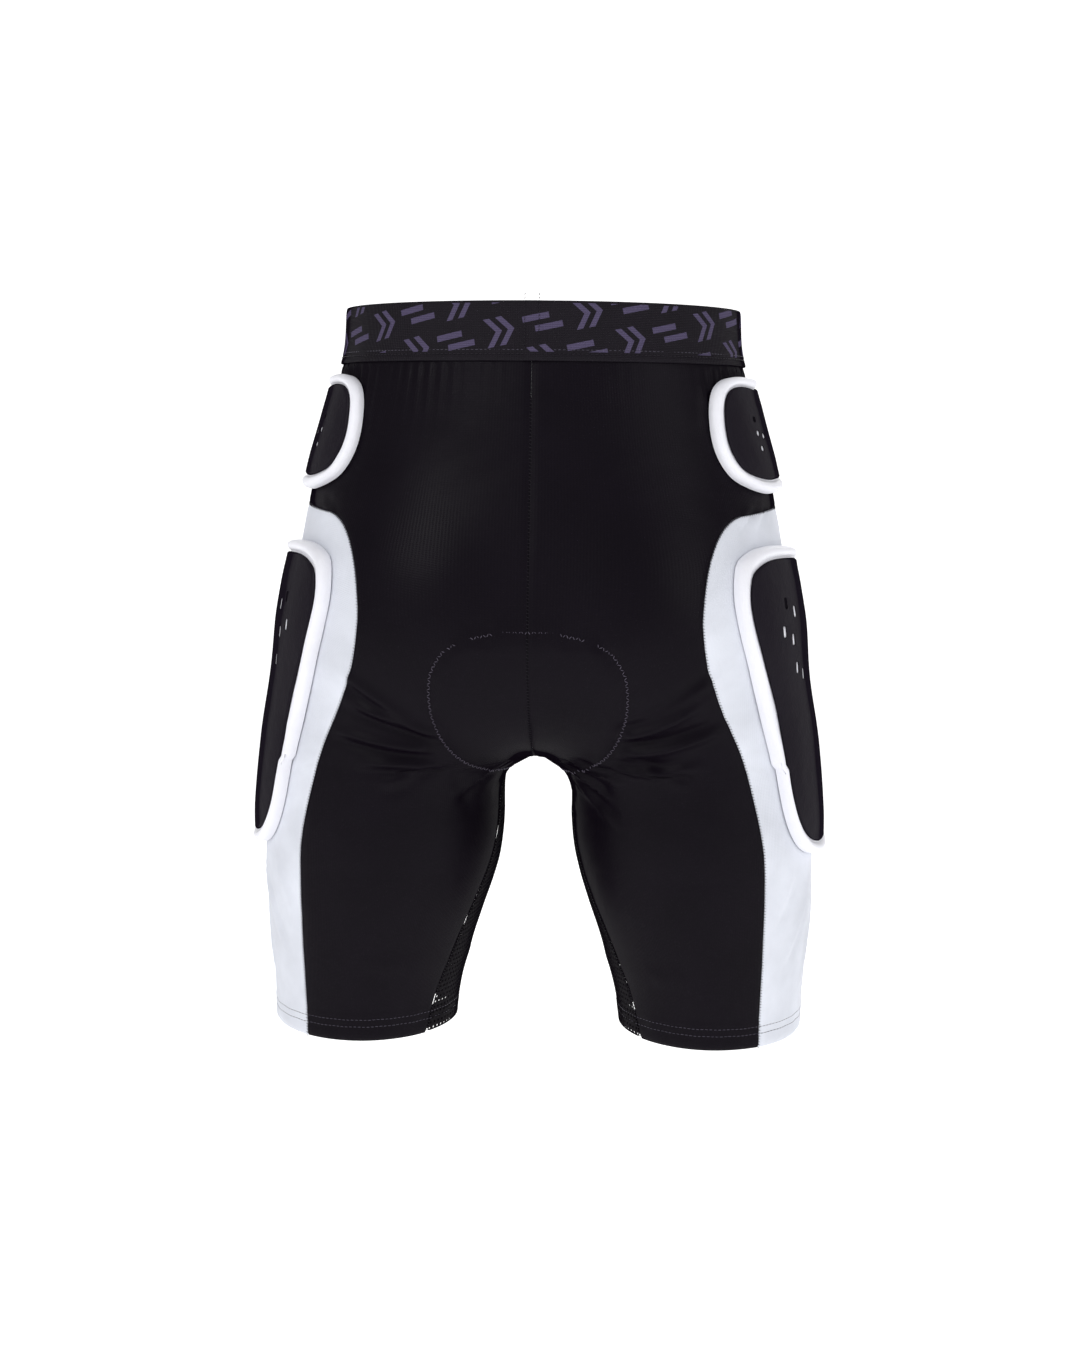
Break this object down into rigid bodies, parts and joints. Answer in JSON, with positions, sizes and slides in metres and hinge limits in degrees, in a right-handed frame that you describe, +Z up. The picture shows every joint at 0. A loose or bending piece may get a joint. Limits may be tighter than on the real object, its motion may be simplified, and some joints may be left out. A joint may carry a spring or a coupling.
{
  "type": "padded impact shorts",
  "caption": "Close-fitting knit shorts with moulded hip and thigh pads on the outside, a wide elastic waistband and a foam seat pad.",
  "frame": {"origin": "centre of the waist opening, level with the top of the waistband at the sides", "axes": "+Z up towards the wearer's chest, +Y towards the wearer's front, -X towards the wearer's left side"},
  "size_m": [0.404, 0.2299, 0.5068],
  "materials": {
    "black_knit": "satin stretch knit",
    "white_knit": "satin stretch knit",
    "black_mesh": "open perforated knit",
    "band_elastic": "woven jacquard elastic, matt",
    "white_foam": "smooth closed-cell foam, matt",
    "black_plate": "soft moulded plate, matt",
    "seat_foam": "open-cell foam",
    "seat_pad_cloth": "brushed knit",
    "label_cloth": "satin tape, blank"
  },
  "bodies": {
    "root": {"back_panel_left": "black_knit", "back_panel_right": "black_knit", "care_label": "label_cloth", "front_panel_left": "black_knit", "front_panel_right": "black_knit", "hip_pad_foam_left": "white_foam", "hip_pad_foam_right": "white_foam", "hip_pad_plate_left": "black_plate", "hip_pad_plate_right": "black_plate", "inner_thigh_panel_left": "black_mesh", "inner_thigh_panel_right": "black_mesh", "leg_hem_left": "black_knit", "leg_hem_right": "black_knit", "seat_pad_base": "seat_pad_cloth", "seat_pad_cover": "seat_pad_cloth", "seat_pad_foam_left": "seat_foam", "seat_pad_foam_right": "seat_foam", "side_panel_left": "white_knit", "side_panel_right": "white_knit", "thigh_pad_foam_left": "white_foam", "thigh_pad_foam_right": "white_foam", "thigh_pad_plate_left": "black_plate", "thigh_pad_plate_right": "black_plate", "waistband": "band_elastic"}
  },
  "joints": []
}
